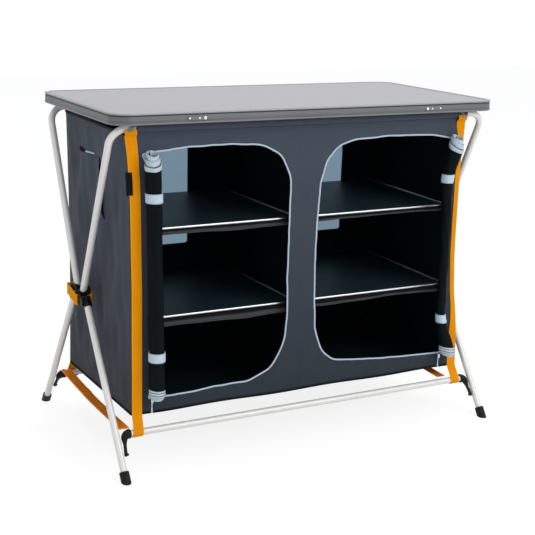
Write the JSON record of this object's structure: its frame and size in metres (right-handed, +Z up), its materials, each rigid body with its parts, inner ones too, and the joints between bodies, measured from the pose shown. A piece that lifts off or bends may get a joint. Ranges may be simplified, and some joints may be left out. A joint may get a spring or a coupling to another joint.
{
  "type": "folding camp kitchen cupboard",
  "caption": "Folding camp cupboard: crossed tube legs carry a hard two-half tabletop over a fabric cabinet of open shelf compartments.",
  "frame": {"origin": "on the ground below the middle of the tabletop", "axes": "+X along the front to the right as seen from the front, +Y from the front to the back, +Z up"},
  "size_m": [1.0132, 0.6012, 0.81],
  "materials": {
    "tube": "satin off-white powder coat on thin tube",
    "black_plastic": "moulded, slightly ribbed",
    "top_board": "pale grey laminate on board, fine grain",
    "rim": "dark grey edge moulding with a pale lip",
    "charcoal": "coated charcoal plain weave",
    "black_cloth": "black coated plain weave",
    "orange_webbing": "orange webbing with pale edges",
    "pale_trim": "pale blue-grey zip tape and pulls",
    "metal": "bright steel wire and fittings",
    "shelf": "dark cloth-covered stiff board"
  },
  "bodies": {
    "cabinet": {"front_panel": "charcoal", "back_panel": "charcoal", "side_panel_left": "charcoal", "side_panel_right": "charcoal", "cabinet_floor": "black_cloth", "centre_divider": "black_cloth", "side_pocket": "charcoal", "shelf_lower_left": "shelf", "shelf_lower_right": "shelf", "shelf_upper_left": "shelf", "shelf_upper_right": "shelf", "shelf_wire_lower_left": "metal", "shelf_wire_lower_right": "metal", "shelf_wire_upper_left": "metal", "shelf_wire_upper_right": "metal", "door_roll_left": "black_cloth", "door_roll_right": "black_cloth", "zip_tape_left": "pale_trim", "zip_tape_right": "pale_trim", "front_strap_left": "orange_webbing", "front_strap_right": "orange_webbing", "rear_strap_left": "orange_webbing", "rear_strap_right": "orange_webbing", "pivot_pin_left": "metal", "pivot_pin_right": "metal", "rail_sleeve_front": "charcoal", "rail_sleeve_rear": "charcoal"},
    "frame_a": {"rear_top_rail": "tube", "front_lower_rail": "tube", "front_leg_left": "tube", "front_leg_right": "tube", "foot_front_left": "black_plastic", "foot_front_right": "black_plastic", "elbow_front_left": "black_plastic", "elbow_front_right": "black_plastic", "hub_outer_left": "black_plastic", "hub_outer_right": "black_plastic"},
    "frame_b": {"front_top_rail": "tube", "rear_lower_rail": "tube", "rear_leg_left": "tube", "rear_leg_right": "tube", "foot_rear_left": "black_plastic", "foot_rear_right": "black_plastic", "elbow_rear_left": "black_plastic", "elbow_rear_right": "black_plastic", "hub_inner_left": "black_plastic", "hub_inner_right": "black_plastic", "hub_loop_left": "orange_webbing", "hub_loop_right": "orange_webbing"},
    "top_spine": {"hinge_pin": "metal"},
    "top_left": {"top_board_left": "top_board", "top_rim_left": "rim", "hinge_leaf_left": "metal"},
    "top_right": {"top_board_right": "top_board", "top_rim_right": "rim", "hinge_leaf_right": "metal", "catch_keeper": "metal"},
    "catch": {"catch_hook": "metal"},
    "pull_left": {"zip_pull_left": "pale_trim"},
    "pull_right": {"zip_pull_right": "pale_trim"}
  },
  "joints": [
    {"name": "frame_fold", "type": "hinge", "parent": "cabinet", "child": "frame_a", "pos_m": [0, 0, 0.3645], "axis": [1, 0, 0], "range_deg": [0, 25], "deforming": ["front_strap_left", "front_strap_right", "rear_strap_left", "rear_strap_right", "rail_sleeve_front", "rail_sleeve_rear"]},
    {"name": "frame_fold_rear", "type": "hinge", "parent": "cabinet", "child": "frame_b", "pos_m": [0, 0, 0.3645], "axis": [1, 0, 0], "range_deg": [-25, 0]},
    {"name": "top_lift", "type": "slide", "parent": "cabinet", "child": "top_spine", "axis": [0, 0, 1], "range_m": [0, 1]},
    {"name": "top_left_fold", "type": "hinge", "parent": "top_spine", "child": "top_left", "pos_m": [0, 0, 0.781], "axis": [0, 1, 0], "range_deg": [-90, 0]},
    {"name": "top_right_fold", "type": "hinge", "parent": "top_spine", "child": "top_right", "pos_m": [0, 0, 0.781], "axis": [0, 1, 0], "range_deg": [0, 90]},
    {"name": "catch_swing", "type": "hinge", "parent": "top_left", "child": "catch", "pos_m": [-0.2915, -0.25244, 0.79675], "axis": [0, 1, 0], "range_deg": [-90, 0]},
    {"name": "pull_left_swing", "type": "hinge", "parent": "cabinet", "child": "pull_left", "pos_m": [-0.397, -0.20913, 0.1466], "axis": [1, 0, 0], "range_deg": [-90, 0]},
    {"name": "pull_right_swing", "type": "hinge", "parent": "cabinet", "child": "pull_right", "pos_m": [0.397, -0.20913, 0.1466], "axis": [1, 0, 0], "range_deg": [-90, 0]}
  ],
  "couplings": [
    {"joint": "frame_fold_rear", "follows": "frame_fold", "ratio": -1},
    {"joint": "top_lift", "follows": "frame_fold", "m_per_rad": 2.29},
    {"joint": "top_left_fold", "follows": "frame_fold", "ratio": -3.59},
    {"joint": "top_right_fold", "follows": "frame_fold", "ratio": 3.59}
  ]
}
